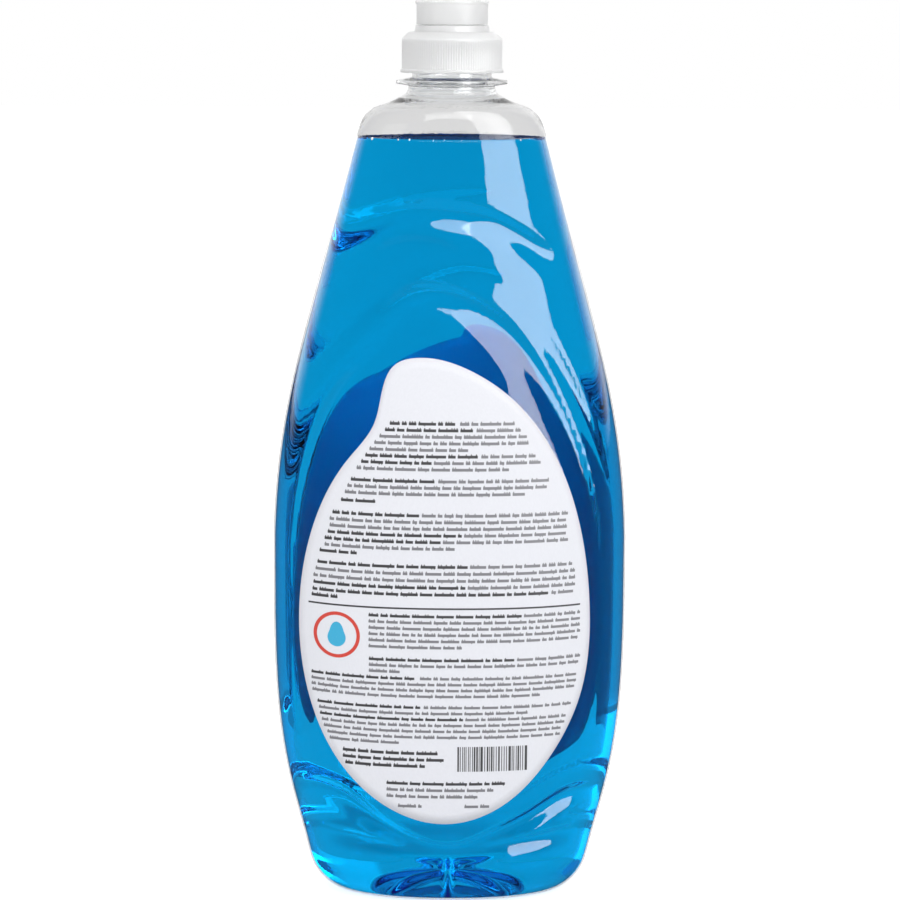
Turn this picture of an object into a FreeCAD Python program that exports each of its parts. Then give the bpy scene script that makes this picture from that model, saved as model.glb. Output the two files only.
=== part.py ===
import FreeCAD, Part
import math
import os

# A dish soap bottle: a blown oval bottle with sculpted flutes, its filling, two film labels and a
# push-pull closure. Millimetres: X is the width, Y the depth, Z the height above the table.
# The back label faces -Y.

V = FreeCAD.Vector
AXIS = V(0, 0, 1)
HALF_TURN = 180

# How far a shape that cuts or joins runs past its partner
OVERLAP = 1.0

# Blown body: height, half-width and half-depth of each section, from above the heel to the shoulder
BODY_ROWS = (
    (14.0, 45.9, 29.0),
    (34.0, 51.1, 31.5),
    (58.0, 55.1, 33.0),
    (90.0, 56.6, 33.6),
    (121.0, 56.4, 33.4),
    (145.0, 54.2, 32.3),
    (168.0, 49.9, 30.4),
    (191.0, 44.0, 27.6),
    (214.0, 37.9, 24.8),
    (236.6, 31.9, 22.2),
    (246.0, 29.3, 21.2),
    (249.2, 28.0, 20.6),
    (251.4, 26.2, 19.8),
    (253.0, 23.0, 18.7),
    (254.9, 18.0, 16.4),
)
BODY_SQUARENESS = 2.2
BODY_SIDES = 40
WALL = 0.55
BASE_HALF_WIDTH = 42.5
BASE_HALF_DEPTH = 27.0
HEEL_HEIGHT = 11.0
HEEL_INSET = 9.0
HEEL_STEPS = 5
SHOULDER_HEIGHT = 11.0
NECK_ROOT_RISE = 2.1
NECK_ROOT_R = 14.4

# Pushed-up base with a star of rays
STAND_RING = 2.6
PUSH_UP = 6.0
DOME_SIDES = 24
DOME_TURNS = (0, 32, 58, 80)
RAY_TURNS = (85, 58, 32, 14)
STAR_RAYS = 8
STAR_RADIUS = 1.6
STAR_RISE = 0.8

# Neck finish
NECK_R = 12.55
BORE_R = 10.9
NECK_HEIGHT = 17.6
RING_RISE = 3.6
RING_R = 17.5
RING_EDGE = 1.1
RING_ROOT = 2.4
RING_STEP = 1.0
NECK_WALL = 1.4
LIP_CHAMFER = 0.5
THREAD_ROOM = 1.15

# Filling
FILL_DROP = 3.0
FILL_GAP = 0.15
FILL_SIDES = 20
FLUTE_ROOM = 2.1

# Film labels: outline of the back label as x and z, seen from its own side
LABEL_OUTLINE = (
    (-8.9, 176.7),
    (-17.2, 174.4),
    (-21.2, 166.0),
    (-23.6, 156.0),
    (-31.8, 144.5),
    (-42.5, 123.8),
    (-47.3, 97.5),
    (-45.1, 71.4),
    (-34.8, 47.8),
    (-17.5, 32.6),
    (-1.0, 28.4),
    (15.0, 33.0),
    (31.0, 48.2),
    (41.5, 69.0),
    (44.2, 98.0),
    (41.6, 119.8),
    (33.6, 144.4),
    (20.6, 162.8),
    (5.0, 173.4),
)
LABEL_FILM = 0.1
LABEL_GLUE = 0.05

# Flutes of one face: radius of the scoop, then rows of share of the half-width, height and depth
# of the scoop's bottom below the plain wall. A negative depth lifts the scoop clear of the wall.
FLUTES = (
    (7.0, (
        (-0.62, 220.4, -0.5),
        (-0.27, 221.7, 0.6),
        (0.02, 221.0, 1.1),
        (0.33, 218.6, 1.6),
        (0.58, 213.6, 1.9),
        (0.74, 208.6, 1.2),
        (0.84, 204.6, -0.8),
    )),
    (8.0, (
        (-0.66, 203.0, -0.5),
        (-0.50, 209.6, 0.6),
        (-0.24, 211.6, 1.2),
        (0.06, 207.6, 1.4),
        (0.32, 200.2, 1.5),
        (0.55, 189.6, 1.5),
        (0.71, 174.0, 1.3),
        (0.81, 158.0, 1.0),
        (0.88, 140.0, 0.4),
        (0.92, 122.0, -0.4),
    )),
    (7.0, (
        (-0.47, 187.0, -0.5),
        (-0.34, 192.4, 0.8),
        (-0.14, 193.8, 1.3),
        (0.10, 191.0, 1.5),
        (0.34, 184.6, 1.5),
        (0.55, 173.0, 1.4),
        (0.70, 156.0, 1.3),
        (0.79, 134.0, 1.2),
        (0.835, 108.0, 1.1),
        (0.84, 84.0, 1.0),
        (0.81, 62.0, 0.6),
        (0.76, 46.0, -0.5),
    )),
    (7.0, (
        (-0.53, 174.0, -0.5),
        (-0.68, 166.0, 0.6),
        (-0.78, 152.0, 1.1),
        (-0.845, 130.0, 1.2),
        (-0.875, 105.0, 1.2),
        (-0.875, 80.0, 1.0),
        (-0.865, 60.0, 0.5),
        (-0.84, 44.0, -0.5),
    )),
    (7.0, (
        (-0.86, 42.0, -0.5),
        (-0.68, 33.5, 0.7),
        (-0.44, 26.0, 1.3),
        (-0.16, 21.6, 1.5),
        (0.14, 20.8, 1.6),
        (0.44, 22.8, 1.7),
        (0.70, 28.6, 1.3),
        (0.88, 37.0, -0.5),
    )),
)

# Closure base: knurled skirt, chamfered shoulder, collar, spout tube, spider and plug
CAP_CLEARANCE = 0.3
SEAL_CLEARANCE = 0.1
SKIRT_GAP = 2.9
SKIRT_LIP_STEP = 0.45
SKIRT_LIP = 1.0
SKIRT_WALL = 1.45
KNURL_COUNT = 124
KNURL_DEPTH = 0.3
KNURL_HEIGHT = 8.0
SHOULDER_CHAMFER = 2.1
DECK = 1.4
COLLAR_R = 11.9
COLLAR_TAPER = 0.45
COLLAR_HEIGHT = 2.1
COLLAR_WALL = 0.9
TUBE_R = 9.4
TUBE_WALL = 1.1
TUBE_HEIGHT = 7.9
BEAD = 0.4
BEAD_HEIGHT = 0.7
SEAL_WALL = 0.9
SEAL_DEPTH = 4.6
PLUG_R = 3.0
ORIFICE_PIN_R = 2.2
SPIDER_RIBS = 3
SPIDER_RIB = 1.2
SPIDER_HEIGHT = 2.6

# Pull top
PULL_R = 11.2
PULL_FLANGE = 0.4
PULL_FLANGE_HEIGHT = 1.0
PULL_DECK = 1.4
PULL_HEIGHT = 7.5
PULL_SEAT = 0.2
SLIDE_CLEARANCE = 0.15
ORIFICE_CLEARANCE = 0.15

RIM_WIDTH = BASE_HALF_WIDTH - HEEL_INSET - STAND_RING
RIM_DEPTH = BASE_HALF_DEPTH - HEEL_INSET - STAND_RING
NECK_ROOT_Z = BODY_ROWS[-1][0] + NECK_ROOT_RISE
SHOULDER_Z = NECK_ROOT_Z - SHOULDER_HEIGHT
FILL_Z = SHOULDER_Z - FILL_DROP
RING_Z = NECK_ROOT_Z + RING_RISE
NECK_TOP_Z = NECK_ROOT_Z + NECK_HEIGHT
SKIRT_BOTTOM_Z = RING_Z + SKIRT_GAP
CAP_BORE_R = NECK_R + THREAD_ROOM + CAP_CLEARANCE
KNURL_R = CAP_BORE_R + SKIRT_WALL + KNURL_DEPTH
SKIRT_LIP_R = KNURL_R + SKIRT_LIP_STEP
COLLAR_TOP_R = COLLAR_R - COLLAR_TAPER
DECK_UNDER_Z = NECK_TOP_Z + SEAL_CLEARANCE
DECK_Z = DECK_UNDER_Z + DECK
COLLAR_Z = DECK_Z + COLLAR_HEIGHT
TUBE_Z = DECK_Z + TUBE_HEIGHT
PULL_Z = COLLAR_Z + PULL_SEAT
PULL_BORE_R = TUBE_R + BEAD + SLIDE_CLEARANCE
PULL_TOP_Z = PULL_Z + PULL_HEIGHT


def body_rows():
    # The heel under the first body row is a quarter of an ellipse
    rows = []
    first_z, first_width, first_depth = BODY_ROWS[0]
    for step in range(HEEL_STEPS):
        turn = math.radians(90 * step / HEEL_STEPS)
        z = HEEL_HEIGHT * (1 - math.cos(turn))
        inset = HEEL_INSET * (1 - math.sin(turn))
        half_width = BASE_HALF_WIDTH + (first_width - BASE_HALF_WIDTH) * z / first_z
        half_depth = BASE_HALF_DEPTH + (first_depth - BASE_HALF_DEPTH) * z / first_z
        rows.append((z, half_width - inset, half_depth - inset))
    rows.extend(BODY_ROWS)
    rows.append((NECK_ROOT_Z, NECK_ROOT_R, NECK_ROOT_R))
    return rows


ROWS = body_rows()


def squareness(z):
    # The oval turns into a circle between the shoulder and the neck
    share = min(max((z - SHOULDER_Z) / (NECK_ROOT_Z - SHOULDER_Z), 0), 1)
    return BODY_SQUARENESS + (2 - BODY_SQUARENESS) * share


def oval(half_width, half_depth, z, sides):
    power = squareness(z)
    corners = []
    for index in range(sides + 1):
        turn = 2 * math.pi * index / sides
        c = math.cos(turn)
        s = math.sin(turn)
        x = half_width * math.copysign(abs(c) ** (2 / power), c)
        y = half_depth * math.copysign(abs(s) ** (2 / power), s)
        corners.append(V(x, y, z))
    corners[-1] = corners[0]
    return Part.makePolygon(corners)


def section(index, inset, sides):
    # One cross-section of the body, moved inwards square to the wall
    below = ROWS[max(index - 1, 0)]
    above = ROWS[min(index + 1, len(ROWS) - 1)]
    rise = above[0] - below[0]
    run = above[1] - below[1]
    length = math.hypot(rise, run)
    z, half_width, half_depth = ROWS[index]
    across = inset * rise / length
    up = inset * run / length
    return oval(half_width - across, half_depth - across, z + up, sides)


def plain_body(inset, sides=BODY_SIDES):
    # The body without flutes, lofted from section to section
    return Part.makeLoft([section(index, inset, sides) for index in range(len(ROWS))], True, True)


def size_at(z):
    for lower, upper in zip(ROWS, ROWS[1:]):
        if z <= upper[0]:
            break
    share = (z - lower[0]) / (upper[0] - lower[0])
    half_width = lower[1] + (upper[1] - lower[1]) * share
    half_depth = lower[2] + (upper[2] - lower[2]) * share
    return half_width, half_depth


def wall_point(share, z):
    # A point of the plain wall on the back-label side, and the outward normal there
    half_width, half_depth = size_at(z)
    power = squareness(z)
    depth_share = (1 - abs(share) ** power) ** (1 / power)
    normal_x = math.copysign(abs(share) ** (power - 1), share) / half_width
    normal_y = -depth_share ** (power - 1) / half_depth
    return V(half_width * share, -half_depth * depth_share, z), V(normal_x, normal_y, 0).normalize()


def scoop(radius, rows, inset):
    # A round bar along the flute's line; it grows with the inset, so the wall stays even
    centres = []
    for share, z, depth in rows:
        point, normal = wall_point(share, z)
        centres.append(point + normal * (radius - depth))
    ring = Part.Wire([Part.makeCircle(radius + inset, centres[0], centres[1] - centres[0])])
    return Part.makePolygon(centres).makePipeShell([ring], True, False, 1)


def dome(inset):
    # The push-up under the base, a shallow oval dome
    wires = [oval(RIM_WIDTH + inset, RIM_DEPTH + inset, -OVERLAP, DOME_SIDES)]
    for turn in DOME_TURNS:
        share = math.cos(math.radians(turn))
        height = PUSH_UP * math.sin(math.radians(turn))
        wires.append(oval(RIM_WIDTH * share + inset, RIM_DEPTH * share + inset, height + inset, DOME_SIDES))
    return Part.makeLoft(wires, True, True)


def star():
    # Round grooves that follow the dome from its middle to its rim and rise above it
    rays = []
    for ray in range(STAR_RAYS):
        angle = 2 * math.pi * ray / STAR_RAYS
        line = []
        for turn in RAY_TURNS:
            share = math.cos(math.radians(turn))
            height = PUSH_UP * math.sin(math.radians(turn)) + STAR_RISE - STAR_RADIUS
            line.append(V(RIM_WIDTH * share * math.cos(angle), RIM_DEPTH * share * math.sin(angle), height))
        ring = Part.Wire([Part.makeCircle(STAR_RADIUS, line[0], line[1] - line[0])])
        rays.append(Part.makePolygon(line).makePipeShell([ring], True, False, 1))
    return rays


def turned_over(shape):
    # The same thing on the other face: the mould has the same form on both
    twin = shape.copy()
    twin.rotate(V(0, 0, 0), AXIS, HALF_TURN)
    return twin


def sculpted_body(inset, dome_inset):
    scoops = [scoop(radius, rows, inset) for radius, rows in FLUTES]
    scoops.extend([turned_over(tool) for tool in scoops])
    return plain_body(inset).cut(scoops).cut(dome(dome_inset))


def turned(outline):
    # A solid of revolution from its half outline in radius and height
    corners = [V(radius, 0, z) for radius, z in outline]
    face = Part.Face(Part.makePolygon(corners + corners[:1]))
    return face.revolve(V(0, 0, 0), AXIS, 360)


def neck():
    root_r = NECK_R + RING_STEP
    return turned((
        (0, NECK_ROOT_Z - OVERLAP),
        (NECK_ROOT_R, NECK_ROOT_Z - OVERLAP),
        (NECK_ROOT_R, NECK_ROOT_Z),
        (root_r, RING_Z - RING_ROOT / 2),
        (RING_R, RING_Z - RING_EDGE / 2),
        (RING_R, RING_Z + RING_EDGE / 2),
        (root_r, RING_Z + RING_ROOT / 2),
        (NECK_R, RING_Z + RING_ROOT / 2),
        (NECK_R, NECK_TOP_Z - LIP_CHAMFER),
        (NECK_R - LIP_CHAMFER, NECK_TOP_Z),
        (0, NECK_TOP_Z),
    ))


def neck_bore():
    mouth_r = NECK_ROOT_R - NECK_WALL
    return turned((
        (0, NECK_ROOT_Z - NECK_WALL - OVERLAP),
        (mouth_r, NECK_ROOT_Z - NECK_WALL - OVERLAP),
        (mouth_r, NECK_ROOT_Z - OVERLAP),
        (BORE_R, RING_Z),
        (BORE_R, NECK_TOP_Z + OVERLAP),
        (0, NECK_TOP_Z + OVERLAP),
    ))


def bottle():
    # The star is pressed into the outside of a floor that is thicker by its rise
    outside = sculpted_body(0, 0).cut(star()).fuse(neck())
    inside = sculpted_body(WALL, WALL + STAR_RISE)
    return outside.cut(inside).cut(neck_bore())


def liquid():
    # A plain filling that clears the flutes, seated on the floor and level at the top
    deep = WALL + FLUTE_ROOM + FILL_GAP
    seat = WALL + FILL_GAP
    sections = []
    for index, row in enumerate(ROWS):
        share = min(row[0] / BODY_ROWS[0][0], 1)
        sections.append(section(index, seat + (deep - seat) * share, FILL_SIDES))
    body = Part.makeLoft(sections, True, True)
    room = 2 * BASE_HALF_WIDTH
    above = Part.makeBox(2 * room, 2 * room, room, V(-room, -room, FILL_Z))
    return body.cut(above).cut(dome(seat + STAR_RISE))


def label_film():
    # Film cut to the label's outline, lying on the plain wall of the back-label side
    outline = Part.BSplineCurve()
    outline.interpolate([V(x, 0, z) for x, z in LABEL_OUTLINE], PeriodicFlag=True)
    face = Part.Face(Part.Wire([outline.toShape()]))
    cutter = face.extrude(V(0, -2 * BODY_ROWS[0][1], 0))
    film = plain_body(-LABEL_GLUE - LABEL_FILM).cut(plain_body(-LABEL_GLUE))
    return film.common(cutter)


def knurls():
    # A ring of upright ribs: a star outline, extruded
    corners = []
    for index in range(2 * KNURL_COUNT):
        radius = KNURL_R - KNURL_DEPTH * (index % 2)
        turn = math.pi * index / KNURL_COUNT
        corners.append(V(radius * math.cos(turn), radius * math.sin(turn), SKIRT_BOTTOM_Z + SKIRT_LIP))
    face = Part.Face(Part.makePolygon(corners + corners[:1]))
    return face.extrude(V(0, 0, KNURL_HEIGHT))


def closure_base():
    knurl_root = KNURL_R - KNURL_DEPTH
    knurl_top_z = SKIRT_BOTTOM_Z + SKIRT_LIP + KNURL_HEIGHT
    shell = turned((
        (0, SKIRT_BOTTOM_Z),
        (SKIRT_LIP_R, SKIRT_BOTTOM_Z),
        (SKIRT_LIP_R, SKIRT_BOTTOM_Z + SKIRT_LIP),
        (knurl_root, SKIRT_BOTTOM_Z + SKIRT_LIP),
        (knurl_root, knurl_top_z),
        (KNURL_R, knurl_top_z),
        (KNURL_R, DECK_Z - SHOULDER_CHAMFER),
        (KNURL_R - SHOULDER_CHAMFER, DECK_Z),
        (COLLAR_R, DECK_Z),
        (COLLAR_TOP_R, COLLAR_Z),
        (COLLAR_TOP_R - COLLAR_WALL, COLLAR_Z),
        (COLLAR_TOP_R - COLLAR_WALL, DECK_Z),
        (TUBE_R, DECK_Z),
        (TUBE_R, TUBE_Z - 2 * BEAD),
        (TUBE_R + BEAD, TUBE_Z - BEAD),
        (TUBE_R, TUBE_Z),
        (0, TUBE_Z),
    ))
    shell = shell.fuse(knurls())
    seal_r = BORE_R - SEAL_CLEARANCE
    inside = turned((
        (seal_r, SKIRT_BOTTOM_Z - OVERLAP),
        (CAP_BORE_R, SKIRT_BOTTOM_Z - OVERLAP),
        (CAP_BORE_R, DECK_UNDER_Z - SHOULDER_CHAMFER / 2),
        (CAP_BORE_R - SHOULDER_CHAMFER / 2, DECK_UNDER_Z),
        (seal_r, DECK_UNDER_Z),
    ))
    spout_r = TUBE_R - TUBE_WALL
    seal_bottom_z = DECK_UNDER_Z - SEAL_DEPTH
    spout = turned((
        (0, SKIRT_BOTTOM_Z - OVERLAP),
        (seal_r, SKIRT_BOTTOM_Z - OVERLAP),
        (seal_r, seal_bottom_z),
        (seal_r - SEAL_WALL, seal_bottom_z),
        (seal_r - SEAL_WALL, DECK_UNDER_Z),
        (spout_r, DECK_UNDER_Z + DECK / 2),
        (spout_r, TUBE_Z + OVERLAP),
        (0, TUBE_Z + OVERLAP),
    ))
    body = shell.cut(inside).cut(spout)
    plug = turned((
        (0, DECK_UNDER_Z),
        (PLUG_R, DECK_UNDER_Z),
        (PLUG_R, PULL_TOP_Z - PULL_DECK - SEAL_CLEARANCE),
        (ORIFICE_PIN_R, PULL_TOP_Z - PULL_DECK - SEAL_CLEARANCE),
        (ORIFICE_PIN_R, PULL_TOP_Z - ORIFICE_CLEARANCE),
        (0, PULL_TOP_Z - ORIFICE_CLEARANCE),
    ))
    body = body.fuse(plug)
    for index in range(SPIDER_RIBS):
        rib = Part.makeBox(spout_r + TUBE_WALL / 2, SPIDER_RIB, SPIDER_HEIGHT)
        rib.translate(V(0, -SPIDER_RIB / 2, DECK_UNDER_Z + DECK / 2))
        rib.rotate(V(0, 0, 0), AXIS, 90 + 360 * index / SPIDER_RIBS)
        body = body.fuse(rib)
    return body


def pull_top():
    deck_z = PULL_TOP_Z - PULL_DECK
    orifice_r = ORIFICE_PIN_R + ORIFICE_CLEARANCE
    skirt_r = TUBE_R + SLIDE_CLEARANCE
    return turned((
        (skirt_r, PULL_Z),
        (PULL_R, PULL_Z),
        (PULL_R, PULL_TOP_Z - PULL_FLANGE_HEIGHT),
        (PULL_R + PULL_FLANGE, PULL_TOP_Z - PULL_FLANGE_HEIGHT),
        (PULL_R + PULL_FLANGE, PULL_TOP_Z),
        (orifice_r, PULL_TOP_Z),
        (orifice_r, deck_z),
        (PULL_BORE_R, deck_z),
        (PULL_BORE_R, PULL_Z + BEAD_HEIGHT + BEAD),
        (skirt_r, PULL_Z + BEAD_HEIGHT),
    ))


def write(name, shape):
    solid = max(shape.Solids, key=lambda piece: piece.Volume)
    solid.exportStep("parts/" + name + ".step")


os.makedirs("parts", exist_ok=True)
back_label = label_film()
write("bottle", bottle())
write("liquid_soap", liquid())
write("back_label", back_label)
write("front_label", turned_over(back_label))
write("closure_base", closure_base())
write("pull_top", pull_top())
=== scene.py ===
import math
import random

import bpy
import numpy as np
from mathutils import Matrix, Vector


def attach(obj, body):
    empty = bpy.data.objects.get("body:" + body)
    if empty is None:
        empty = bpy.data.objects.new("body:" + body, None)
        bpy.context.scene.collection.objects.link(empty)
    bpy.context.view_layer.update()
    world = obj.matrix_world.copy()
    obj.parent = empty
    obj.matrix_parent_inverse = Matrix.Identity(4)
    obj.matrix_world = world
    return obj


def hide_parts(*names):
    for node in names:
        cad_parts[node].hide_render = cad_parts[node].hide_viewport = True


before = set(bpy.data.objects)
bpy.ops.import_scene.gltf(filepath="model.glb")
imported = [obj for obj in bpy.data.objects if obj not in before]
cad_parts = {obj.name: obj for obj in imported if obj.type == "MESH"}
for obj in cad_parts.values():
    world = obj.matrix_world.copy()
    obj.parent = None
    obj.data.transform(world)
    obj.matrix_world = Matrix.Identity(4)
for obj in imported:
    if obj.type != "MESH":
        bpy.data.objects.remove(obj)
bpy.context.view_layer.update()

MM = 0.001

# Blown body, in millimetres: height, half-width and half-depth of each section
BODY_ROWS = (
    (14.0, 45.9, 29.0),
    (34.0, 51.1, 31.5),
    (58.0, 55.1, 33.0),
    (90.0, 56.6, 33.6),
    (121.0, 56.4, 33.4),
    (145.0, 54.2, 32.3),
    (168.0, 49.9, 30.4),
    (191.0, 44.0, 27.6),
    (214.0, 37.9, 24.8),
    (236.6, 31.9, 22.2),
    (246.0, 29.3, 21.2),
    (249.2, 28.0, 20.6),
    (251.4, 26.2, 19.8),
    (253.0, 23.0, 18.7),
    (254.9, 18.0, 16.4),
)
BODY_POWER = 2.2
MAX_HALF_WIDTH = 56.6
MAX_HALF_DEPTH = 33.6
BASE_HALF_WIDTH = 42.5
BASE_HALF_DEPTH = 27.0
HEEL_HEIGHT = 11.0
HEEL_INSET = 9.0
HEEL_STEPS = 5
SHOULDER_Z = 246.0
NECK_ROOT_Z = 257.0
NECK_ROOT_R = 14.4
WALL = 0.4
STAND_RING = 2.6
RIM_WIDTH = BASE_HALF_WIDTH - HEEL_INSET - STAND_RING
RIM_DEPTH = BASE_HALF_DEPTH - HEEL_INSET - STAND_RING
PUSH_UP = 6.0
STAR_RAYS = 8
STAR_RISE = 1.6
STAR_SPREAD = 1.3
STAR_REACH = 0.93

# The filling stands off the wall by a hair, and its rim climbs the wall a little
FILL_Z = 243.0
FILM_GAP = 0.06
MENISCUS = 0.5
MENISCUS_WIDTH = 0.75

# Flutes of one face: reach above and below the line, then the line's rows of share of the
# half-width, height and depth
FLUTES = (
    (3.2, 8.0, (
        (-0.66, 219.6, 0.0),
        (-0.27, 221.7, 1.05),
        (0.02, 221.0, 1.8),
        (0.33, 218.6, 1.9),
        (0.58, 213.6, 2.1),
        (0.74, 208.6, 1.4),
        (0.84, 204.6, 0.0),
    )),
    (3.0, 11.0, (
        (-0.70, 200.0, 0.0),
        (-0.50, 209.6, 0.6),
        (-0.24, 211.6, 0.6),
        (0.06, 207.6, 0.3),
        (0.32, 200.2, 0.15),
        (0.55, 189.6, 0.5),
        (0.71, 174.0, 1.1),
        (0.81, 158.0, 1.0),
        (0.88, 140.0, 0.5),
        (0.92, 122.0, 0.0),
    )),
    (2.6, 10.0, (
        (-0.48, 187.0, 0.0),
        (-0.34, 195.0, 1.1),
        (-0.14, 197.0, 1.7),
        (0.10, 194.2, 2.0),
        (0.34, 187.4, 2.1),
        (0.55, 174.6, 2.0),
        (0.70, 156.0, 1.6),
        (0.79, 134.0, 1.4),
        (0.835, 108.0, 1.2),
        (0.84, 84.0, 1.0),
        (0.81, 62.0, 0.6),
        (0.76, 46.0, 0.0),
    )),
    (6.0, 3.0, (
        (-0.53, 176.0, 0.0),
        (-0.68, 166.0, 0.8),
        (-0.78, 152.0, 1.2),
        (-0.845, 130.0, 1.3),
        (-0.875, 105.0, 1.3),
        (-0.875, 80.0, 1.1),
        (-0.865, 60.0, 0.6),
        (-0.84, 44.0, 0.0),
    )),
    (2.4, 6.0, (
        (-0.95, 35.4, 0.0),
        (-0.84, 38.2, 0.8),
        (-0.70, 37.6, 1.2),
        (-0.49, 29.8, 1.6),
        (-0.27, 22.8, 1.8),
        (0.00, 19.4, 1.6),
        (0.31, 24.2, 1.8),
        (0.57, 31.0, 2.2),
        (0.78, 36.6, 1.6),
        (0.94, 36.0, 0.0),
    )),
    (1.8, 5.4, (
        (-0.86, 23.4, 0.0),
        (-0.66, 22.6, 0.9),
        (-0.42, 21.0, 1.3),
        (-0.18, 19.4, 1.4),
        (0.06, 19.0, 1.5),
        (0.30, 20.2, 1.9),
        (0.52, 21.8, 2.0),
        (0.70, 22.8, 1.3),
        (0.86, 24.0, 0.0),
    )),
)

# Outline of the back label as x and z
LABEL_OUTLINE = (
    (-8.9, 176.7),
    (-17.2, 174.4),
    (-21.2, 166.0),
    (-23.6, 156.0),
    (-31.8, 144.5),
    (-42.5, 123.8),
    (-47.3, 97.5),
    (-45.1, 71.4),
    (-34.8, 47.8),
    (-17.5, 32.6),
    (-1.0, 28.4),
    (15.0, 33.0),
    (31.0, 48.2),
    (41.5, 69.0),
    (44.2, 98.0),
    (41.6, 119.8),
    (33.6, 144.4),
    (20.6, 162.8),
    (5.0, 173.4),
)
LABEL_CENTRE = (0.0, 100.0)
LABEL_GLUE = 0.04
LABEL_FILM = 0.08
INK_LIFT = 0.145
FRONT_INK_LIFT = 0.138

# The flutes run out between these distances from the label's edge
FLUTE_FADE = (0.3, 3.0)

# Fineness of the meshes
COLUMNS = 240
COLUMN_BUNCHING = 0.17
WALL_ROWS = 216
SOAP_ROWS = 230
BASE_COUNT = 36
STAND_SHARES = (0.25, 0.5, 0.75)
FLUTE_POINTS = 420
FLUTE_CHUNK = 4000

HALF_TURN = np.array([-1, -1, 1])


def spline(knots, values, at):
    # Natural cubic spline through the values, for one or several columns of them
    t = np.asarray(knots, float)
    y = np.asarray(values, float)
    n = len(t)
    h = np.diff(t)
    matrix = np.eye(n)
    right = np.zeros_like(y)
    for i in range(1, n - 1):
        matrix[i, i - 1] = h[i - 1]
        matrix[i, i] = 2 * (h[i - 1] + h[i])
        matrix[i, i + 1] = h[i]
        right[i] = 6 * ((y[i + 1] - y[i]) / h[i] - (y[i] - y[i - 1]) / h[i - 1])
    bend = np.linalg.solve(matrix, right)
    at = np.asarray(at, float)
    k = np.clip(np.searchsorted(t, at) - 1, 0, n - 2)
    a = t[k + 1] - at
    b = at - t[k]
    step = h[k]
    if y.ndim > 1:
        a, b, step = a[:, None], b[:, None], step[:, None]
    low = bend[k] * a ** 3 / (6 * step) + (y[k] / step - bend[k] * step / 6) * a
    high = bend[k + 1] * b ** 3 / (6 * step) + (y[k + 1] / step - bend[k + 1] * step / 6) * b
    return low + high


def body_rows():
    # The rounded heel's sections, the measured ones and the neck root
    rows = []
    first_z, first_width, first_depth = BODY_ROWS[0]
    for step in range(HEEL_STEPS):
        turn = math.radians(90 * step / HEEL_STEPS)
        z = HEEL_HEIGHT * (1 - math.cos(turn))
        inset = HEEL_INSET * (1 - math.sin(turn))
        half_width = BASE_HALF_WIDTH + (first_width - BASE_HALF_WIDTH) * z / first_z
        half_depth = BASE_HALF_DEPTH + (first_depth - BASE_HALF_DEPTH) * z / first_z
        rows.append((z, half_width - inset, half_depth - inset))
    rows.extend(BODY_ROWS)
    rows.append((NECK_ROOT_Z, NECK_ROOT_R, NECK_ROOT_R))
    return np.array(rows)


ROWS = body_rows()
ROW_STEPS = np.hypot(np.diff(ROWS[:, 0]), np.diff(ROWS[:, 1]))
ROW_LENGTH = np.concatenate([[0], np.cumsum(ROW_STEPS)])


def profile(count):
    # Height, half-width and half-depth along the wall, evenly spaced from the foot to the neck
    found = spline(ROW_LENGTH, ROWS, np.linspace(0, ROW_LENGTH[-1], count))
    found[:, 0] = np.clip(found[:, 0], 0, NECK_ROOT_Z)
    found[:, 1] = np.minimum(found[:, 1], MAX_HALF_WIDTH)
    found[:, 2] = np.minimum(found[:, 2], MAX_HALF_DEPTH)
    return found


FINE = profile(2000)


def size_at(z):
    # Half-width and half-depth of the plain wall at a height
    heights = FINE[:, 0]
    return np.interp(z, heights, FINE[:, 1]), np.interp(z, heights, FINE[:, 2])


def power_at(z):
    # The oval's squareness, which turns into a circle's towards the neck
    share = np.clip((np.asarray(z, float) - SHOULDER_Z) / (NECK_ROOT_Z - SHOULDER_Z), 0, 1)
    return BODY_POWER + (2 - BODY_POWER) * share


def smooth_step(value, low, high):
    t = np.clip((value - low) / (high - low), 0, 1)
    return t * t * (3 - 2 * t)


def column_turns(count):
    # Columns lie closer together on the two wide faces, where the flutes are
    u = 2 * math.pi * np.arange(count) / count
    return u + COLUMN_BUNCHING * np.sin(2 * u)


def oval_points(half_width, half_depth, z, turns):
    # One level section of the plain wall
    power = power_at(z)
    angle = np.arctan2(half_depth * np.sin(turns), half_width * np.cos(turns))
    c = np.cos(angle)
    s = np.sin(angle)
    reach = (np.abs(c / half_width) ** power + np.abs(s / half_depth) ** power) ** (-1 / power)
    return np.stack([reach * c, reach * s, np.full_like(c, z)], -1)


def wall_normals(points):
    # Level outward normals of the plain wall
    half_width, half_depth = size_at(points[..., 2])
    power = power_at(points[..., 2])
    x = points[..., 0] / half_width
    y = points[..., 1] / half_depth
    nx = np.sign(x) * np.abs(x) ** (power - 1) / half_width
    ny = np.sign(y) * np.abs(y) ** (power - 1) / half_depth
    length = np.maximum(np.hypot(nx, ny), 1e-9)
    return np.stack([nx / length, ny / length, np.zeros_like(nx)], -1)


def wall_y(x, z):
    # The plain wall on the back-label side
    half_width, half_depth = size_at(z)
    power = power_at(z)
    share = np.clip(np.abs(x) / half_width, 0, 0.999)
    return -half_depth * (1 - share ** power) ** (1 / power)


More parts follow.
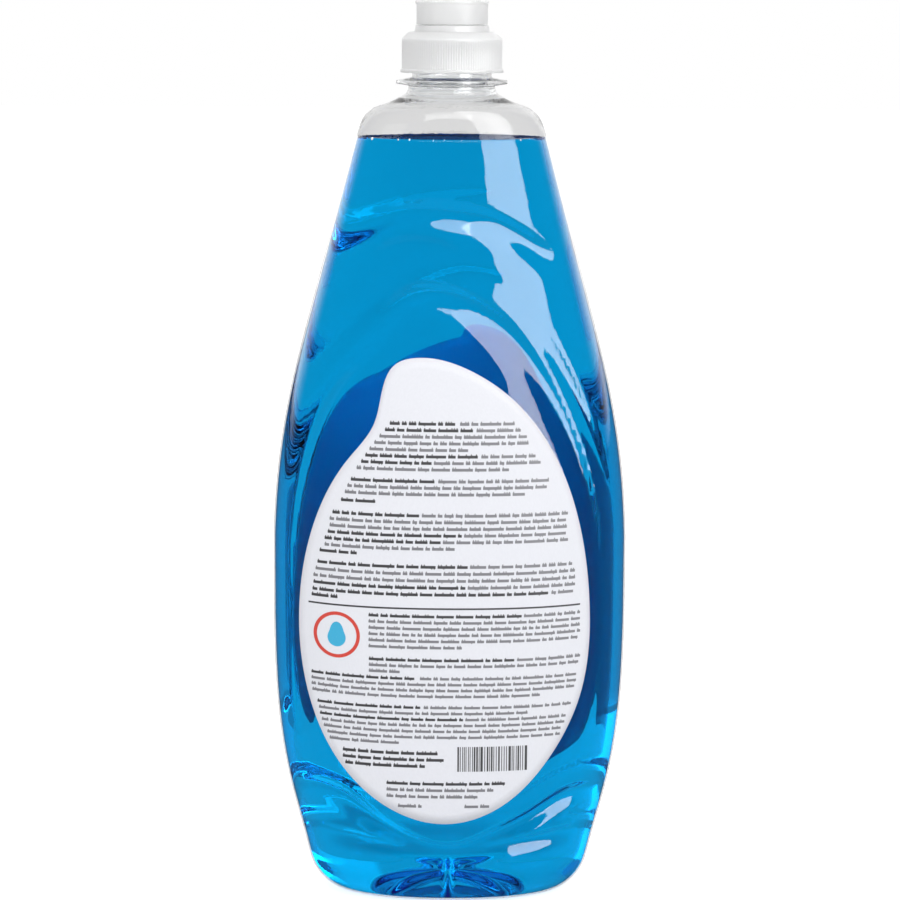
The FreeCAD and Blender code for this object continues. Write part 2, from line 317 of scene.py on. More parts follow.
def flute_lines():
    # Each flute as a dense line on the plain wall, with the depth at each of its points
    lines = []
    for up, down, rows in FLUTES:
        rows = np.array(rows)
        steps = np.hypot(np.diff(rows[:, 0]) * 45, np.diff(rows[:, 1]))
        knots = np.concatenate([[0], np.cumsum(steps)])
        dense = spline(knots, rows, np.linspace(0, knots[-1], FLUTE_POINTS))
        half_width, half_depth = size_at(dense[:, 1])
        x = dense[:, 0] * half_width
        line = np.stack([x, wall_y(x, dense[:, 1]), dense[:, 1]], -1)
        lines.append((up, down, line, np.maximum(dense[:, 2], 0)))
    return lines


FLUTE_LINES = flute_lines()


def label_line(count):
    # The label's outline as a smooth closed line
    outline = np.array(LABEL_OUTLINE + LABEL_OUTLINE[:3])
    before = np.array(LABEL_OUTLINE[-3:])
    ring = np.concatenate([before, outline])
    knots = np.concatenate([[0], np.cumsum(np.hypot(*np.diff(ring, axis=0).T))])
    start = knots[3]
    end = knots[3 + len(LABEL_OUTLINE)]
    return spline(knots, ring, np.linspace(start, end, count, endpoint=False))


LABEL_LINE = label_line(240)


def outside_label(x, z):
    # Distance in millimetres outside the label's edge, negative within it
    near = np.full(x.shape, 1e9)
    inside = np.zeros(x.shape, bool)
    for a, b in zip(LABEL_LINE, np.roll(LABEL_LINE, -1, 0)):
        run = b - a
        t = np.clip(((x - a[0]) * run[0] + (z - a[1]) * run[1]) / (run @ run), 0, 1)
        near = np.minimum(near, np.hypot(x - a[0] - t * run[0], z - a[1] - t * run[1]))
        crosses = (a[1] > z) != (b[1] > z)
        with np.errstate(divide="ignore", invalid="ignore"):
            at = a[0] + (z - a[1]) / (b[1] - a[1] if b[1] != a[1] else 1e-9) * run[0]
        inside ^= crosses & (x < at)
    return np.where(inside, -near, near)


def nearest_on_line(spots, line):
    # Each spot's nearest point of a line, its distance from the line and the side it lies on
    gap = spots[:, None, :] - line[None, :, :]
    best = (gap ** 2).sum(-1).argmin(1)
    before = np.clip(best - 1, 0, len(line) - 2)
    run = line[before + 1] - line[before]
    offset = spots - line[before]
    t = np.clip((offset * run).sum(-1) / (run ** 2).sum(-1), 0, 2)
    across = spots - (line[before] + run * t[:, None])
    # Positive above the line, to the left of its direction seen from outside
    side = run[:, 0] * across[:, 2] - run[:, 2] * across[:, 0]
    return best, np.linalg.norm(across, axis=-1), side


def flute_depth(points):
    # How far the flutes of the back-label side lie below the plain wall
    depth = np.zeros(len(points))
    for up, down, line, line_depth in FLUTE_LINES:
        reach = max(up, down) + 1
        low = line[:, 2].min() - reach
        high = line[:, 2].max() + reach
        level = (points[:, 2] > low) & (points[:, 2] < high)
        near = np.nonzero(level & (points[:, 1] < 0))[0]
        for chunk in np.array_split(near, max(1, len(near) // FLUTE_CHUNK)):
            best, distance, side = nearest_on_line(points[chunk], line)
            share = np.clip(distance / np.where(side > 0, up, down), 0, 1)
            crisp = np.cos(math.pi / 2 * share)
            soft = 0.5 * (1 + np.cos(math.pi * share))
            sunk = line_depth[best] * np.where(side > 0, crisp, soft)
            depth[chunk] = np.maximum(depth[chunk], sunk)
    near = np.nonzero(depth > 0)[0]
    clear = outside_label(points[near, 0], points[near, 2])
    depth[near] *= smooth_step(clear, *FLUTE_FADE)
    return depth


def base_rise(x, y):
    # Rays of the star under the base
    rise = np.zeros(x.shape)
    for ray in range(STAR_RAYS):
        angle = 2 * math.pi * ray / STAR_RAYS
        end = np.array([RIM_WIDTH * math.cos(angle), RIM_DEPTH * math.sin(angle)]) * STAR_REACH
        t = np.clip((x * end[0] + y * end[1]) / (end @ end), 0.12, 1)
        distance = np.hypot(x - end[0] * t, y - end[1] * t)
        height = STAR_RISE * np.exp(-((distance / STAR_SPREAD) ** 2)) * (1 - t ** 6)
        rise = np.maximum(rise, height)
    return rise


def base_rows(turns):
    # From the middle of the pushed-up base out to the standing ring
    rows = []
    for step in range(1, BASE_COUNT + 1):
        share = step / BASE_COUNT
        height = PUSH_UP * math.sqrt(max(0, 1 - share ** 2))
        ring = oval_points(RIM_WIDTH * share, RIM_DEPTH * share, 0, turns)
        ring[:, 2] = height + base_rise(ring[:, 0], ring[:, 1]) * (1 - share ** 4)
        rows.append(ring)
    for share in STAND_SHARES:
        wide = RIM_WIDTH + STAND_RING * share
        deep = RIM_DEPTH + STAND_RING * share
        rows.append(oval_points(wide, deep, 0, turns))
    return rows


def outer_wall(count):
    # Points of the outside from the middle of the base to the neck root, row by row
    turns = column_turns(COLUMNS)
    rows = [oval_points(wide, deep, z, turns) for z, wide, deep in profile(count)]
    side = np.array(rows).reshape(-1, 3)
    sunk = np.maximum(flute_depth(side), flute_depth(side * HALF_TURN))
    side = side - wall_normals(side) * sunk[:, None]
    return np.concatenate([np.array(base_rows(turns)), side.reshape(-1, COLUMNS, 3)])


def grid_normals(grid):
    # Outward normals of a closed grid of rows
    across = np.roll(grid, -1, 1) - np.roll(grid, 1, 1)
    along = np.gradient(grid, axis=0)
    normal = np.cross(across, along)
    length = np.linalg.norm(normal, axis=-1, keepdims=True)
    return normal / np.maximum(length, 1e-9)


def corner_arc(here, before, after, rounding, steps=5):
    # The arc that rounds a corner, from the ways back and on along the outline
    back = np.linalg.norm(before)
    on = np.linalg.norm(after)
    before = before / back
    after = after / on
    half = math.acos(max(-1, min(1, before @ after))) / 2
    cut = min(rounding / math.tan(half), back * 0.49, on * 0.49)
    radius = cut * math.tan(half)
    middle = (before + after) / np.linalg.norm(before + after)
    centre = here + middle * radius / math.sin(half)
    start = here + before * cut - centre
    end = here + after * cut - centre
    first = math.atan2(start[1], start[0])
    last = math.atan2(end[1], end[0])
    swing = (last - first + math.pi) % (2 * math.pi) - math.pi
    turns = [first + swing * k / steps for k in range(steps + 1)]
    return [centre + radius * np.array([math.cos(a), math.sin(a)]) for a in turns]


def fillet(corners, closed=False):
    # A half outline (radius, height, rounding) with its corners rounded
    points = []
    corners = list(corners)
    for i, (r, z, rounding) in enumerate(corners):
        here = np.array([r, z])
        if rounding <= 0 or (not closed and i in (0, len(corners) - 1)):
            points.append(here)
            continue
        before = np.array(corners[i - 1][:2]) - here
        after = np.array(corners[(i + 1) % len(corners)][:2]) - here
        points.extend(corner_arc(here, before, after, rounding))
    return points


def circle_rows(outline, turns):
    # A level circle for each point of a half outline
    rows = []
    for r, z in outline:
        rows.append(np.stack([r * np.cos(turns), r * np.sin(turns), np.full_like(turns, z)], -1))
    return rows


def grid_faces(row_count, columns):
    # Quads between closed rows
    rows = np.arange(row_count - 1)[:, None] * columns
    cols = np.arange(columns)[None, :]
    after = (cols + 1) % columns
    quads = [rows + cols, rows + after, rows + columns + after, rows + columns + cols]
    return np.stack(quads, -1).reshape(-1, 4)


def make_object(name, points, faces, materials, slots=None, smooth=True):
    # A mesh object in the scene from points in millimetres
    mesh = bpy.data.meshes.new(name)
    mesh.from_pydata((np.asarray(points) * MM).tolist(), [], [list(f) for f in faces])
    for material in materials:
        mesh.materials.append(material)
    if slots is not None:
        mesh.polygons.foreach_set("material_index", np.asarray(slots, np.int32))
    mesh.polygons.foreach_set("use_smooth", np.full(len(mesh.polygons), smooth))
    mesh.update()
    piece = bpy.data.objects.new(name, mesh)
    bpy.context.scene.collection.objects.link(piece)
    return piece


def closed_grid(name, rows, materials, slot_of=None):
    # A surface of closed rows, shut by a fan at each end
    columns = rows[0].shape[0]
    points = np.asarray(rows).reshape(-1, 3)
    faces = grid_faces(len(rows), columns).tolist()
    slots = None
    if slot_of is not None:
        slots = [slot_of(i // columns) for i in range(len(faces))]
    ends = [rows[0].mean(0), rows[-1].mean(0)]
    points = np.concatenate([points, ends])
    first = len(points) - 2
    last = first + 1
    base = (len(rows) - 1) * columns
    for c in range(columns):
        d = (c + 1) % columns
        faces.append([first, d, c])
        faces.append([last, base + c, base + d])
    if slots is not None:
        slots += [slot_of(0), slot_of(len(rows) - 2)] * columns
    return make_object(name, points, faces, materials, slots)


# Materials

SOAP_IOR = 1.36


def new_material(name):
    material = bpy.data.materials.new(name)
    material.use_nodes = True
    tree = material.node_tree
    tree.nodes.clear()
    output = tree.nodes.new("ShaderNodeOutputMaterial")
    return material, tree, output


def new_shader(tree, kind, values):
    # A node with constants on its own sockets
    node = tree.nodes.new("ShaderNode" + kind)
    for name, value in values.items():
        node.inputs[name].default_value = value
    return node


def feed(tree, socket, value):
    # A number stays on the socket, and anything else is linked to it
    if isinstance(value, (int, float)):
        socket.default_value = value
    else:
        tree.links.new(value, socket)


def math_node(tree, operation, a, b):
    node = tree.nodes.new("ShaderNodeMath")
    node.operation = operation
    feed(tree, node.inputs[0], a)
    feed(tree, node.inputs[1], b)
    return node.outputs["Value"]


def ramp_node(tree, value, low, high, from_value, to_value):
    # A smooth change of value between two limits
    node = tree.nodes.new("ShaderNodeMapRange")
    node.interpolation_type = "SMOOTHSTEP"
    tree.links.new(value, node.inputs["Value"])
    node.inputs["From Min"].default_value = low
    node.inputs["From Max"].default_value = high
    node.inputs["To Min"].default_value = from_value
    node.inputs["To Max"].default_value = to_value
    return node.outputs["Result"]


def choose_node(tree, test, yes, no):
    node = tree.nodes.new("ShaderNodeMix")
    node.data_type = "FLOAT"
    tree.links.new(test, node.inputs[0])
    feed(tree, node.inputs[2], no)
    feed(tree, node.inputs[3], yes)
    return node.outputs[0]


def mix_shaders(tree, share, first, second):
    node = tree.nodes.new("ShaderNodeMixShader")
    tree.links.new(share, node.inputs["Fac"])
    tree.links.new(first, node.inputs[1])
    tree.links.new(second, node.inputs[2])
    return node.outputs["Shader"]


def wave_surface(tree, noise, shader, strength, distance):
    # Slight unevenness of a surface
    bump = new_shader(tree, "Bump", {"Strength": strength, "Distance": distance})
    tree.links.new(noise.outputs["Fac"], bump.inputs["Height"])
    tree.links.new(bump.outputs["Normal"], shader.inputs["Normal"])


def clear_plastic(name, tint, ior):
    material, tree, output = new_material(name)
    look = {"Base Color": tint, "Roughness": 0.015, "IOR": ior, "Transmission Weight": 1.0}
    body = new_shader(tree, "BsdfPrincipled", look)
    noise = new_shader(tree, "TexNoise", {"Scale": 70})
    wave_surface(tree, noise, body, 0.05, 0.0006)
    tree.links.new(body.outputs["BSDF"], output.inputs["Surface"])
    return material


def wet_wall():
    # The wall where the filling touches it: only its outer gloss is seen
    material, tree, output = new_material("wet_wall")
    see = tree.nodes.new("ShaderNodeBsdfTransparent")
    gloss = new_shader(tree, "BsdfGlossy", {"Color": (1, 1, 1, 1), "Roughness": 0.02})
    noise = new_shader(tree, "TexNoise", {"Scale": 60})
    wave_surface(tree, noise, gloss, 0.04, 0.0006)
    fresnel = new_shader(tree, "Fresnel", {"IOR": 1.45})
    facing = tree.nodes.new("ShaderNodeNewGeometry")
    outside = math_node(tree, "SUBTRACT", 1.0, facing.outputs["Backfacing"])
    share = math_node(tree, "MULTIPLY", fresnel.outputs["Fac"], outside)
    wall = mix_shaders(tree, share, see.outputs["BSDF"], gloss.outputs["BSDF"])
    tree.links.new(wall, output.inputs["Surface"])
    return material


def wet_inside():
    # The wall's inside where the filling touches it isn't seen
    material, tree, output = new_material("wet_inside")
    see = tree.nodes.new("ShaderNodeBsdfTransparent")
    tree.links.new(see.outputs["BSDF"], output.inputs["Surface"])
    return material


def soap_volume(tree, output):
    look = {"Color": (0.02, 0.95, 0.975, 1), "Density": 60}
    inside = new_shader(tree, "VolumeAbsorption", look)
    tree.links.new(inside.outputs["Volume"], output.inputs["Volume"])


def soap():
    material, tree, output = new_material("dish_soap")
    look = {
        "Base Color": (0.001, 0.46, 0.90, 1),
        "Roughness": 0.0,
        "IOR": SOAP_IOR,
        "Transmission Weight": 1.0,
    }
    body = new_shader(tree, "BsdfPrincipled", look)
    tree.links.new(body.outputs["BSDF"], output.inputs["Surface"])
    soap_volume(tree, output)
    return material


def soap_top():
    # The level surface of the filling, with painted shade and a painted reflection, so that it
    # shows as a dark line from the side
    material, tree, output = new_material("dish_soap_top_painted_dark")
    # Painted shade: a dark navy tint on the refraction, over the filling's own absorption
    tint = {"Color": (0.01, 0.30, 0.62, 1), "Roughness": 0.0, "IOR": SOAP_IOR}
    see = new_shader(tree, "BsdfRefraction", tint)
    # Painted reflection: a dark navy gloss
    gloss = new_shader(tree, "BsdfGlossy", {"Color": (0.01, 0.07, 0.20, 1), "Roughness": 0.0})
    fresnel = new_shader(tree, "Fresnel", {"IOR": SOAP_IOR})
    top = mix_shaders(tree, fresnel.outputs["Fac"], see.outputs["BSDF"], gloss.outputs["BSDF"])
    tree.links.new(top, output.inputs["Surface"])
    soap_volume(tree, output)
    return material


def plain(name, colour, roughness, extra=None):
    # An even colour with a slight mottle and grain
    material, tree, output = new_material(name)
    body = new_shader(tree, "BsdfPrincipled", {"Roughness": roughness, **(extra or {})})
    noise = new_shader(tree, "TexNoise", {"Scale": 120, "Detail": 3})
    ramp = tree.nodes.new("ShaderNodeValToRGB")
    ramp.color_ramp.elements[0].position = 0.3
    ramp.color_ramp.elements[0].color = tuple(c * 0.97 for c in colour) + (1,)
    ramp.color_ramp.elements[1].position = 0.7
    ramp.color_ramp.elements[1].color = tuple(colour) + (1,)
    tree.links.new(noise.outputs["Fac"], ramp.inputs["Fac"])
    tree.links.new(ramp.outputs["Color"], body.inputs["Base Color"])
    wave_surface(tree, noise, body, 0.08, 0.0002)
    tree.links.new(body.outputs["BSDF"], output.inputs["Surface"])
    return material


# Translucent plastic, with a faint white emission painted on as glow
TRANSLUCENT_AND_GLOW = {
    "Transmission Weight": 0.35,
    "IOR": 1.5,
    "Subsurface Weight": 0.8,
    "Subsurface Radius": (0.004, 0.004, 0.004),
    "Subsurface Scale": 1.0,
    "Emission Color": (1, 1, 1, 1),
    "Emission Strength": 0.03,
}
PET = clear_plastic("clear_pet", (0.97, 0.98, 0.985, 1), 1.5)
PET_SHOULDER = clear_plastic("clear_pet_shoulder", (0.955, 0.955, 0.955, 1), 1.3)
WET = wet_wall()
WET_INSIDE = wet_inside()
SOAP = soap()
SOAP_TOP = soap_top()
# The closure's plastic, whose faint emission is painted glow
NATURAL = plain("natural_plastic_painted_glow", (0.95, 0.955, 0.96), 0.3, TRANSLUCENT_AND_GLOW)
PAPER = plain("label_white", (0.78, 0.79, 0.84), 0.55, {"Specular IOR Level": 0.15})
INK = plain("label_ink", (0.06, 0.06, 0.065), 0.5)
INK_LIGHT = plain("label_ink_light", (0.22, 0.22, 0.24), 0.5)
RED = plain("label_red", (0.70, 0.06, 0.04), 0.5)
BLUE = plain("label_blue", (0.02, 0.16, 0.50), 0.35)
FOAM = plain("soap_foam", (0.90, 0.96, 1.0), 0.2)
CYAN = plain("label_cyan", (0.05, 0.45, 0.72), 0.35)
# The labels' glued side: white film in itself, painted darker and greener here as shade for how it
# shows through the filling
LABEL_BACK_SHADED = plain("label_inside_painted_shade", (0.56, 0.64, 0.55), 0.6)


# Bottle

# Outline of the neck from its foot outside, over the ring and the lip, and down the bore
NECK = (
    (14.4, 257.0, 0),
    (13.7, 258.6, 1.2),
    (13.55, 259.4, 0.3),
    (17.5, 260.0, 0.35),
    (17.5, 261.2, 0.4),
    (13.55, 261.8, 0.3),
    (12.55, 262.0, 0.3),
    (12.55, 274.6, 0.5),
    (10.9, 274.6, 0.3),
    (10.9, 261.2, 2.0),
    (12.9, 256.6, 1.5),
    (13.6, 255.6, 0),
)
NECK_FOOT_Z = 255.5
WET_LINE = FILL_Z + MENISCUS


def inner_rows(wall):
    # The inside from the shoulder to the middle of the base, with a row at the fill line
    inner = wall - grid_normals(wall) * WALL
    foot = BASE_COUNT + len(STAND_SHARES)
    wet_row = int(np.argmax(wall[:, :, 2].mean(1) > WET_LINE))
    side = set(range(len(inner) - 4, foot, -3)) | {wet_row}
    rows = [inner[i] for i in sorted(side, reverse=True)]
    return rows + [inner[i] for i in range(foot, 0, -2)]


def make_bottle():
    wall = outer_wall(WALL_ROWS)
    neck = circle_rows(fillet(NECK)[1:], column_turns(COLUMNS))
    rows = list(wall) + neck + inner_rows(wall)
    outer_count = len(wall) + len(neck) // 2
    heights = [row[:, 2].mean() for row in rows]

    def slot_of(i):
        i = min(i, len(heights) - 2)
        lower = min(heights[i], heights[i + 1])
        if lower > NECK_FOOT_Z:
            return 0
        if lower > WET_LINE:
            return 3
        return 1 if i < outer_count else 2

    materials = [PET, WET, WET_INSIDE, PET_SHOULDER]
    bottle = closed_grid("bottle_shell", rows, materials, slot_of)
    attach(bottle, "filled_bottle")
    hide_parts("bottle")


# Filling


def soap_side():
    # The filling's rows from the middle of the base up to its rim on the wall
    wall = outer_wall(SOAP_ROWS)
    wall = wall - grid_normals(wall) * (WALL + FILM_GAP)
    rows = [row for row in wall if row[:, 2].max() < WET_LINE]
    below = rows[-1]
    above = wall[len(rows)]
    share = (WET_LINE - below[:, 2]) / (above[:, 2] - below[:, 2])
    rows.append(below + (above - below) * share[:, None])
    return rows


def soap_surface(rim):
    # The curve down from the rim, and the level surface in to its middle
    inward = wall_normals(rim)
    rows = []
    for reach in (0.12, 0.3, 0.55, 0.9, 1.4, 2.0, 3.0, 4.5):
        ring = rim - inward * reach
        ring[:, 2] = FILL_Z + MENISCUS * math.exp(-reach / MENISCUS_WIDTH)
        rows.append(ring)
    last = rows[-1].copy()
    for share in (0.75, 0.5, 0.25, 0.1):
        ring = last * np.array([share, share, 1])
        ring[:, 2] = FILL_Z
        rows.append(ring)
    return rows


def make_soap():
    side = soap_side()
    rows = side + soap_surface(side[-1])
    rim = len(side) - 1
    liquid = closed_grid("soap_filling", rows, [SOAP, SOAP_TOP], lambda i: 1 if i >= rim else 0)
    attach(liquid, "filled_bottle")
    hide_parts("liquid_soap")


# Bubbles along the fill line as x and radius, against the back-label side of the wall

BUBBLES = (
    (-24.6, 0.5),
    (-16.4, 0.34),
    (-12.9, 0.45),
    (-5.6, 0.3),
    (-2.2, 0.34),
    (3.1, 0.2),
    (21.4, 0.3),
)


def ball(middle, size, first, rings=7, spokes=12):
    # Points and faces of a ball, whose points count from first
    points = []
    for ring in range(rings + 1):
        tilt = math.pi * ring / rings
        for spoke in range(spokes):
            turn = 2 * math.pi * spoke / spokes
            level = math.sin(tilt)
            way = np.array([level * math.cos(turn), level * math.sin(turn), math.cos(tilt)])
            points.append(middle + way * size)
    faces = []
    for ring in range(rings):
        for spoke in range(spokes):
            a = first + ring * spokes + spoke
            b = first + ring * spokes + (spoke + 1) % spokes
            faces.append((a, a + spokes, b + spokes, b))
    return points, faces


def make_bubbles():
    points = []
    faces = []
    half_width, half_depth = size_at(FILL_Z)
    for x, size in BUBBLES:
        reach = half_depth * (1 - abs(x / half_width) ** BODY_POWER) ** (1 / BODY_POWER)
        y = -(reach - WALL - FILM_GAP - size)
        middle = np.array([x, y, FILL_Z + MENISCUS * 0.45])
        more_points, more_faces = ball(middle, size, len(points))
        points += more_points
        faces += more_faces
    bubbles = make_object("fill_line_bubbles", points, faces, [FOAM])
    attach(bubbles, "filled_bottle")


# Labels

LABEL_RINGS = 22


def on_wall(x, z, lift):
    # Points over the plain wall of the back-label side
    x = np.asarray(x, float)
    z = np.asarray(z, float)
    points = np.stack([x, wall_y(x, z), z], -1)
    return points + wall_normals(points) * lift


def label_film(name, materials):
    # A film with its face first and its glued side second
    shares = np.linspace(0, 1, LABEL_RINGS + 1)[1:]
    centre = np.array(LABEL_CENTRE)
    layers = []
    for lift in (LABEL_GLUE + LABEL_FILM, LABEL_GLUE):
        for share in shares:
            ring = centre + (LABEL_LINE - centre) * share
            layers.append(on_wall(ring[:, 0], ring[:, 1], lift))
    rows = layers[:LABEL_RINGS] + layers[LABEL_RINGS:][::-1]
    return closed_grid(name, rows, materials, lambda i: 0 if i < LABEL_RINGS else 1)


def make_labels():
    back_label = label_film("back_label_film", [PAPER, LABEL_BACK_SHADED])
    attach(back_label, "filled_bottle")
    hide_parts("back_label")
    front_label = label_film("front_label_film", [BLUE, LABEL_BACK_SHADED])
    front_label.data.transform(Matrix.Rotation(math.pi, 4, "Z"))
    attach(front_label, "filled_bottle")
    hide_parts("front_label")


# Print on the back label: rows of plain bars, a badge, a rule and a group of bars

# Height of the first row, spacing, bar height, then each row's left end, right end and weight
TEXT_BLOCKS = (
    (156.5, 2.03, 1.25, (
        (-18.7, 20.0, 1), (-20.2, 21.9, 1), (-21.9, 23.8, 0), (-23.5, 25.1, 0),
        (-25.0, 5.6, 0), (-26.3, 27.6, 1), (-27.6, 28.6, 1), (-29.0, 18.3, 0),
    )),
    (138.6, 2.03, 1.25, ((-30.8, 30.8, 1), (-31.9, 31.4, 0), (-32.7, 23.3, 0))),
    (132.0, 2.1, 1.25, ((-33.9, -23.1, 1),)),
    (127.9, 2.08, 1.25, (
        (-36.6, 36.9, 1), (-37.5, 36.3, 0), (-37.5, 36.9, 0), (-38.1, 36.3, 1),
        (-39.1, 37.0, 1), (-39.1, 1.6, 0),
    )),
    (115.5, 2.1, 1.25, ((-40.7, -28.9, 1),)),
    (111.8, 2.2, 1.25, (
        (-41.4, 38.4, 1), (-42.0, 39.3, 0), (-42.7, 39.4, 0), (-42.7, 39.4, 1), (-43.0, 38.8, 1),
    )),
    (101.1, 2.1, 1.25, ((-43.3, -35.0, 1),)),
    (96.0, 1.98, 1.15, (
        (-25.2, 41.1, 1), (-25.2, 41.1, 0), (-25.2, 41.1, 0), (-25.2, 41.2, 0),
        (-25.2, 40.4, 0), (-25.2, 4.0, 0),
    )),
    (82.0, 1.9, 1.15, ((-25.1, 41.3, 1), (-25.1, 40.7, 0), (-25.1, -15.4, 0))),
    (76.1, 1.9, 1.1, ((-43.4, 40.1, 1), (-43.4, 40.1, 0), (-43.4, 39.5, 0), (-43.4, 28.6, 0))),
    (66.8, 1.93, 1.1, (
        (-41.5, 38.5, 1), (-41.0, 26.1, 0), (-40.7, 37.5, 1), (-40.1, 36.9, 0),
        (-39.5, 36.2, 0), (-38.8, 35.4, 0), (-38.1, -14.2, 0),
    )),
    (51.9, 2.1, 1.3, ((-33.4, -2.3, 2), (-33.4, -1.5, 2), (-33.4, -7.4, 2))),
    (41.9, 2.14, 1.2, ((-19.5, 18.4, 2), (-19.5, 14.2, 0), (-19.5, 9.2, 0))),
    (34.4, 0.0, 1.2, ((-15.9, -8.4, 0), (5.1, 12.9, 0))),
)
PRINT_MARGIN = 1.6
RULE = (-44.3, 41.1, 98.1, 98.65)
STRIPES = (2.8, 25.0, 45.9, 54.0)
BADGE = (-35.3, 88.8)
BADGE_DROP = (-35.3, 87.9)


class Ink:
    # Thin patches that lie on the label

    def __init__(self, name, lift=INK_LIFT):
        self.name = name
        self.lift = lift
        self.flat = []
        self.faces = []

    def block(self, left, right, bottom, top):
        self.field(left, right, lambda x: bottom, lambda x: top)

    def field(self, left, right, bottom, top, longest=2.0):
        # The area between two lines over x, in squares that follow the wall
        columns = max(1, math.ceil((right - left) / longest))
        across = [left + (right - left) * k / columns for k in range(columns + 1)]
        tallest = max(top(x) - bottom(x) for x in across)
        rows = max(1, math.ceil(tallest / longest))
        first = len(self.flat)
        for x in across:
            low, high = bottom(x), top(x)
            for j in range(rows + 1):
                self.flat.append((x, low + (high - low) * j / rows))
        for k in range(columns):
            for j in range(rows):
                a = first + k * (rows + 1) + j
                b = a + rows + 1
                self.faces.append((a, b, b + 1, a + 1))

    def ring(self, x, z, outer, inner, count=48, shape=None):
        first = len(self.flat)
        for k in range(count):
            a = 2 * math.pi * k / count
            stretch = shape(a) if shape else 1
            for r in (outer, inner):
                self.flat.append((x + r * stretch * math.cos(a), z + r * stretch * math.sin(a)))
        for k in range(count):
            a = first + 2 * k
            b = first + 2 * ((k + 1) % count)
            self.faces.append((a, b, b + 1, a + 1))

    def make(self, material, turned=False):
        flat = np.array(self.flat)
        points = on_wall(flat[:, 0], flat[:, 1], self.lift)
        if turned:
            points = points * np.array([-1, -1, 1])
        piece = make_object(self.name, points, self.faces, [material])
        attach(piece, "filled_bottle")
        return piece


def label_limits(z):
    # Left and right edges of the label at a height
    x = LABEL_LINE[:, 0]
    near = np.abs(LABEL_LINE[:, 1] - z) < 1.1
    return x[near & (x < 0)].max(), x[near & (x > 0)].min()


def text_row(rng, ink, z, left, right, height, weight):
    # A row of plain bars, each a word long, with a few steps up and down
    edges = label_limits(z)
    left = max(left, edges[0] + PRINT_MARGIN)
    right = min(right, edges[1] - PRINT_MARGIN)
    pitch = 0.72 + 0.06 * weight
    low = z - height * 0.5
    high = z + height * 0.2
    x = left
    while x < right - 0.8:
        count = rng.choice((2, 3, 4, 5, 5, 6, 7, 8, 9))
        end = min(x + pitch * count, right)
        ink.block(x, end, low, high)
        for k in range(count):
            step = x + pitch * (k + 0.25)
            if step + 0.34 > end:
                break
            kind = rng.random()
            if kind < 0.3 or k == 0:
                ink.block(step, step + 0.34, high, z + height * 0.5)
            elif kind > 0.92:
                ink.block(step, step + 0.34, low - height * 0.2, low)
        x = end + 0.62


def text_block(rng, dark, light, block):
    # Weight 2 is bold, weight 1 starts bold and goes on light, and weight 0 is light
    top, spacing, height, rows = block
    for k, (left, right, weight) in enumerate(rows):
        z = top - spacing * k
        if weight == 2:
            text_row(rng, dark, z, left, right, height, 2)
        elif weight == 1:
            part = right
            if right - left >= 25:
                part = left + (right - left) * rng.uniform(0.35, 0.95)
            text_row(rng, dark, z, left, part, height, 1)
            if part < right - 4:
                text_row(rng, light, z, part + 0.7, right, height, 0)
        else:
            text_row(rng, light, z, left, right, height, 0)


def drop_shape(a):
    # Stretch of a ring at an angle that draws its top out into a drop
    return 1 + 0.75 * max(0, math.sin(a)) ** 6


def print_back_label():
    rng = random.Random(7)
    light = Ink("label_print_light")
    dark = Ink("label_print_bold")
    for block in TEXT_BLOCKS:
        text_block(rng, dark, light, block)
    dark.block(*RULE)
    x, right, low, high = STRIPES
    while x < right:
        bar = rng.choice((0.25, 0.25, 0.5, 0.75))
        dark.block(x, x + bar, low, high)
        x += bar + rng.choice((0.28, 0.28, 0.5))
    light.make(INK_LIGHT)
    dark.make(INK)
    badge = Ink("label_badge")
    badge.ring(*BADGE, 7.4, 6.3)
    badge.make(RED)
    drop = Ink("label_badge_drop")
    drop.ring(*BADGE_DROP, 2.9, 0.02, shape=drop_shape)
    drop.make(CYAN)


# Print on the front label: plain swooshes, a drop and rings

SWOOSHES = (
    ("front_label_swoosh", PAPER, 8.5, 102.0),
    ("front_label_stripe", CYAN, 3.2, 87.0),
    ("front_label_line", PAPER, 0.9, 79.5),
)
DROP_RINGS = ((8.5, 6.4), (6.0, 4.0), (4.0, 2.0), (2.0, 0.02))
SUDS = (
    (-12, 152, 3.4),
    (11, 150, 2.6),
    (-17, 143, 1.9),
    (18, 60, 4.2),
    (10, 51, 2.6),
    (25, 69, 2.0),
)


def swoosh(ink, thickness, middle_z, left=-37.0, right=34.0):
    centre = (left + right) / 2
    reach = (right - left) / 2

    def middle(x):
        return middle_z + 7 * math.sin((x + 6) / 17) + 0.12 * x

    def half(x):
        return thickness * max(0, 1 - ((x - centre) / reach) ** 2) ** 0.7

    ink.field(left, right, lambda x: middle(x) - half(x), lambda x: middle(x) + half(x))


def print_front_label():
    for name, material, thickness, middle_z in SWOOSHES:
        band = Ink(name, FRONT_INK_LIFT)
        swoosh(band, thickness, middle_z)
        band.make(material, turned=True)
    front_drop = Ink("front_label_drop", FRONT_INK_LIFT)
    for outer, inner in DROP_RINGS:
        front_drop.ring(-1, 139, outer, inner, shape=drop_shape)
    front_drop.make(CYAN, turned=True)
    suds = Ink("front_label_rings", FRONT_INK_LIFT)
    for x, z, r in SUDS:
        suds.ring(x, z, r, r - 0.7)
    suds.make(PAPER, turned=True)


# Closure: knurled skirt, shoulder, collar, spout tube, plug and spider

CAP_COLUMNS = 496
PULL_COLUMNS = 192
PLUG_COLUMNS = 64
KNURLS = 124
